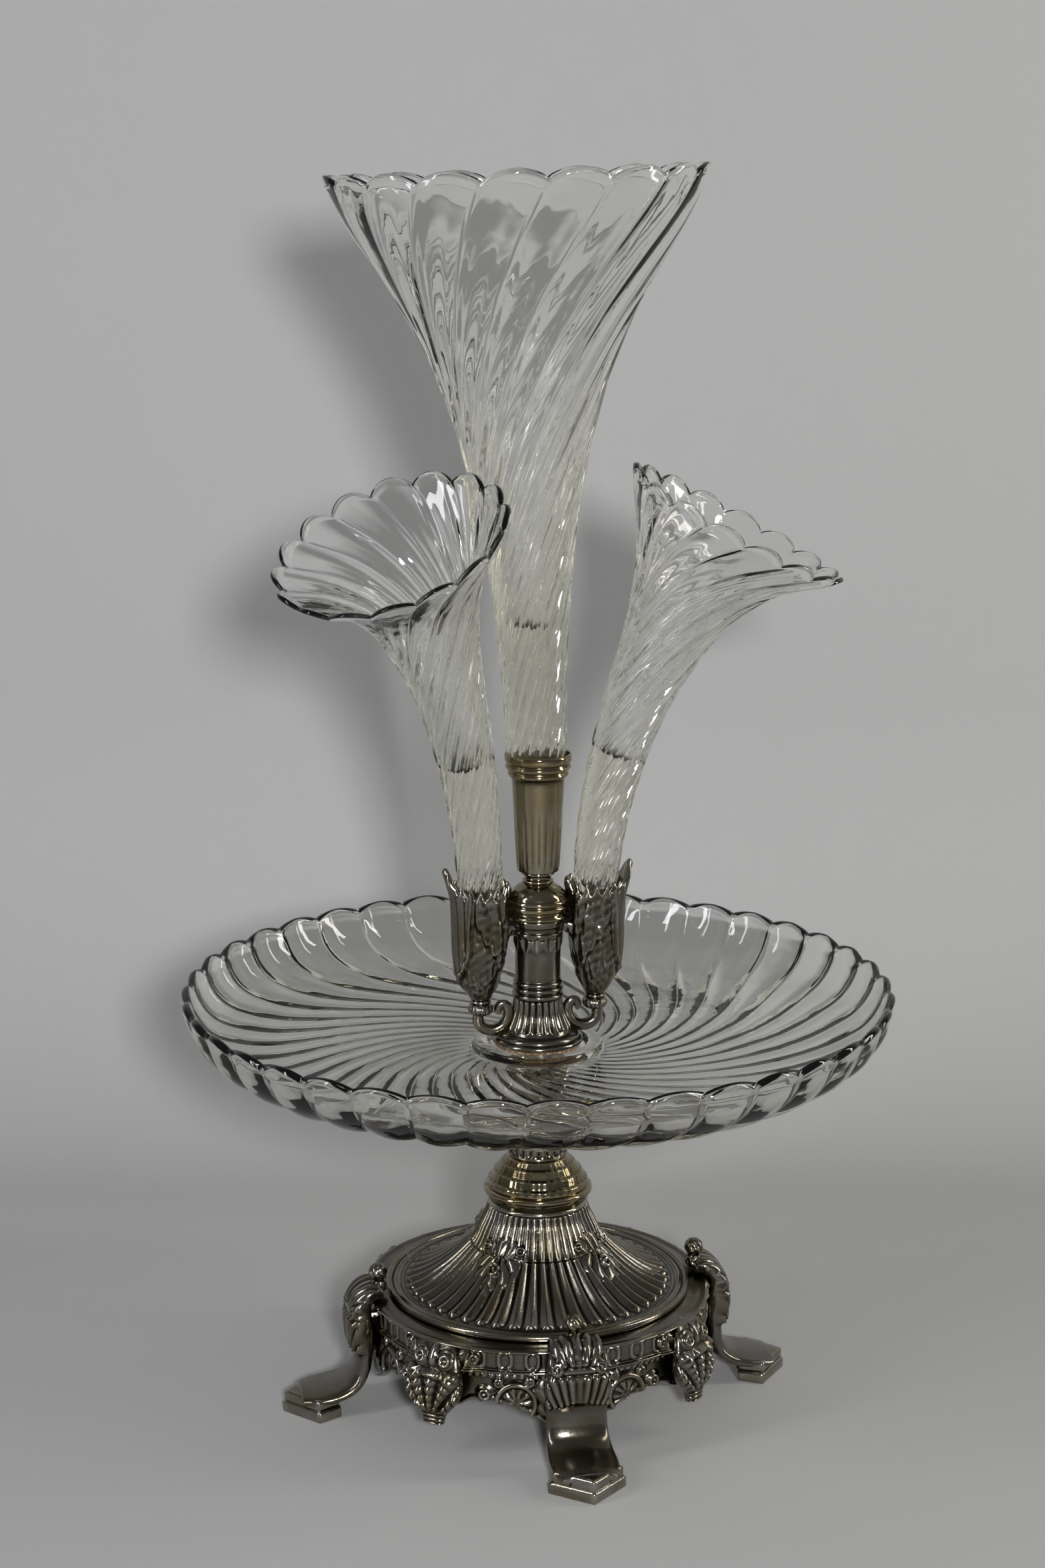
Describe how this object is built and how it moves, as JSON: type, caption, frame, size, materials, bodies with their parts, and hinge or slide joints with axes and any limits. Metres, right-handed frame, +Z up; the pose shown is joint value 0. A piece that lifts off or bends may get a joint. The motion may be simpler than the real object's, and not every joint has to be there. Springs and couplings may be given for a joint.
{
  "type": "table centrepiece",
  "caption": "Table centrepiece: a cast pewter stand on leaf-carved feet carries a swirled glass dish, with a tall trumpet vase over it and bent ones on scroll arms.",
  "frame": {"origin": "on the table, under the middle of the stand", "axes": "+Z up along the stem, +X through the right foot and the right arm, -Y to the front foot"},
  "size_m": [0.28, 0.28, 0.4909],
  "materials": {
    "cast_pewter": "cast silver-plated pewter, worn and toned brown in its hollows",
    "polished_pewter": "turned and polished pewter",
    "fastener_steel": "plain machined steel, out of sight",
    "cork": "pressed cork",
    "pressed_glass": "clear pressed and blown glass with a faint green edge"
  },
  "bodies": {
    "stand": {"base_frame": "cast_pewter", "foot_right": "cast_pewter", "foot_back": "cast_pewter", "foot_left": "cast_pewter", "foot_front": "cast_pewter", "base_dish": "cast_pewter", "stem_cone": "cast_pewter", "stem_neck": "cast_pewter", "column": "cast_pewter", "arm_right": "cast_pewter", "arm_left": "cast_pewter", "socket_right": "cast_pewter", "socket_left": "cast_pewter", "stem_collar": "polished_pewter", "stem_dome": "polished_pewter", "column_cap": "polished_pewter", "cup_neck": "polished_pewter", "centre_cup": "polished_pewter", "foot_screw_right": "fastener_steel", "foot_screw_back": "fastener_steel", "foot_screw_left": "fastener_steel", "foot_screw_front": "fastener_steel", "tie_rod": "fastener_steel", "base_nut": "fastener_steel", "base_washer": "fastener_steel", "cup_nut": "fastener_steel", "arm_screw_right": "fastener_steel", "arm_screw_left": "fastener_steel", "lower_plate_pad": "cork", "upper_plate_pad": "cork", "glass_plate": "pressed_glass"},
    "centre_sleeve": {"sleeve_centre": "cork"},
    "centre_vase": {"vase_centre": "pressed_glass"},
    "left_sleeve": {"sleeve_left": "cork"},
    "left_vase": {"vase_left": "pressed_glass"},
    "right_sleeve": {"sleeve_right": "cork"},
    "right_vase": {"vase_right": "pressed_glass"}
  },
  "joints": [
    {"name": "centre_vase_lift", "type": "slide", "parent": "stand", "child": "centre_sleeve", "axis": [-0.0307, 0.0258, 0.9992], "range_m": [0, 0.06]},
    {"name": "centre_vase_turn", "type": "hinge", "parent": "centre_sleeve", "child": "centre_vase", "pos_m": [0, 0, 0.2505], "axis": [-0.0307, 0.0258, 0.9992], "continuous": true},
    {"name": "left_vase_lift", "type": "slide", "parent": "stand", "child": "left_sleeve", "axis": [0, 0, 1], "range_m": [0, 0.012]},
    {"name": "left_vase_turn", "type": "hinge", "parent": "left_sleeve", "child": "left_vase", "pos_m": [-0.023, 0, 0.2145], "axis": [0, 0, 1], "range_deg": [-50, 15]},
    {"name": "right_vase_lift", "type": "slide", "parent": "stand", "child": "right_sleeve", "axis": [0, 0, 1], "range_m": [0, 0.028]},
    {"name": "right_vase_turn", "type": "hinge", "parent": "right_sleeve", "child": "right_vase", "pos_m": [0.023, 0, 0.2145], "axis": [0, 0, 1], "range_deg": [-45, 50]}
  ]
}
